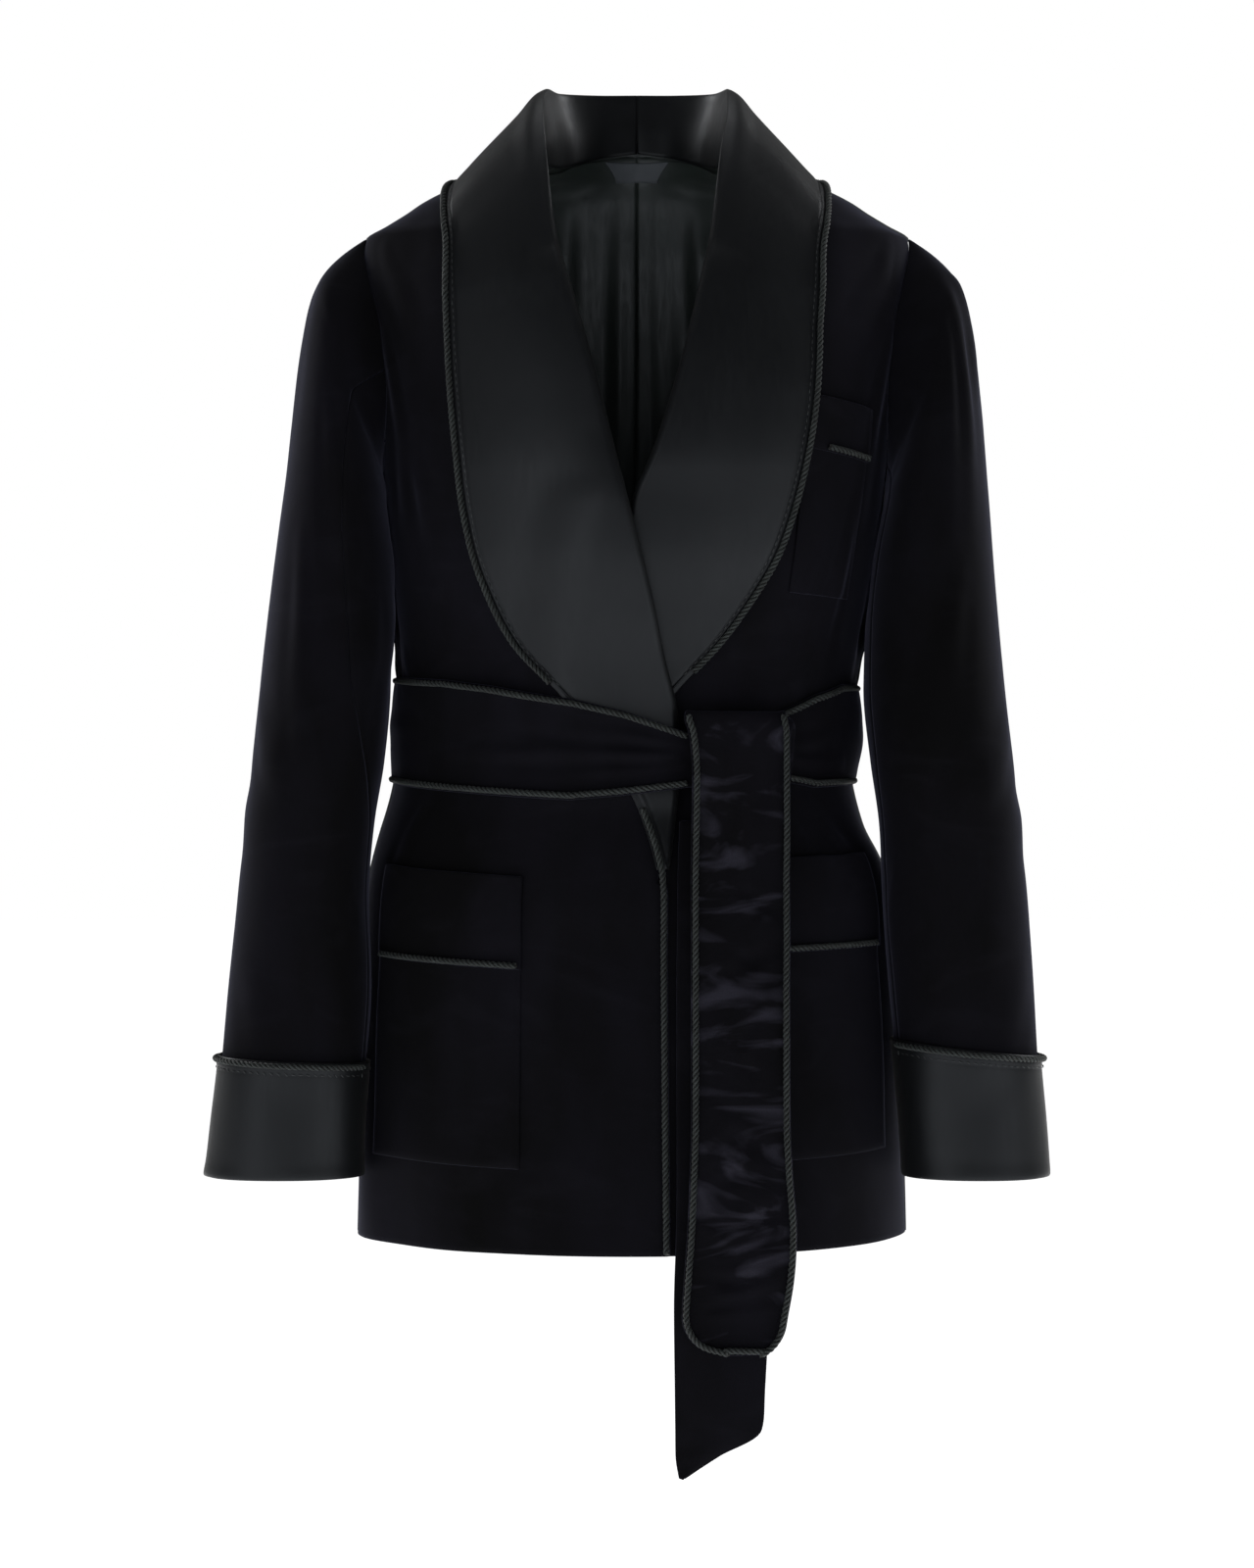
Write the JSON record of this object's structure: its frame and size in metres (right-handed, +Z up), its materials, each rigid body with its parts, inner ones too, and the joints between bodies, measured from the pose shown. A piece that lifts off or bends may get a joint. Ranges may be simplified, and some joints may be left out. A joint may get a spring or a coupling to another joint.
{
  "type": "smoking jacket",
  "caption": "Women's velvet smoking jacket in worn shape: satin shawl collar and cuffs, rope braid edges, patch pockets, knotted tie belt.",
  "frame": {"origin": "on the wearer's midline, level with the tops of the shoulders at the neck, midway between the front and the back of the shoulder seams", "axes": "+Z up, -Y to the wearer's front, -X to the wearer's right"},
  "size_m": [0.5552, 0.2693, 0.9171],
  "materials": {
    "velvet": "black cotton velvet",
    "satin": "black satin",
    "lining": "dark grey-green satin lining",
    "rope": "dark twisted rope braid"
  },
  "bodies": {
    "root": {"back_left": "velvet", "back_right": "velvet", "front_left": "velvet", "front_right": "velvet", "lining_left": "lining", "lining_right": "lining", "sleeve_upper_left": "velvet", "sleeve_upper_right": "velvet", "sleeve_under_left": "velvet", "sleeve_under_right": "velvet", "cuff_left": "satin", "cuff_right": "satin", "collar_left": "satin", "collar_right": "satin", "neck_label": "lining", "pocket_hip_left": "velvet", "pocket_hip_right": "velvet", "pocket_chest": "velvet", "band_hip_left": "velvet", "band_hip_right": "velvet", "band_chest": "velvet", "belt_wrap": "velvet", "belt_knot": "velvet", "belt_end_front": "velvet", "belt_end_back": "velvet", "braid_belt_top": "rope", "braid_belt_low": "rope", "braid_belt_end": "rope", "braid_collar_left": "rope", "braid_collar_right": "rope", "braid_cuff_left": "rope", "braid_cuff_right": "rope", "braid_front_edge": "rope", "braid_lapel_tip": "rope", "braid_hip_left": "rope", "braid_hip_right": "rope", "braid_chest": "rope"}
  },
  "joints": []
}
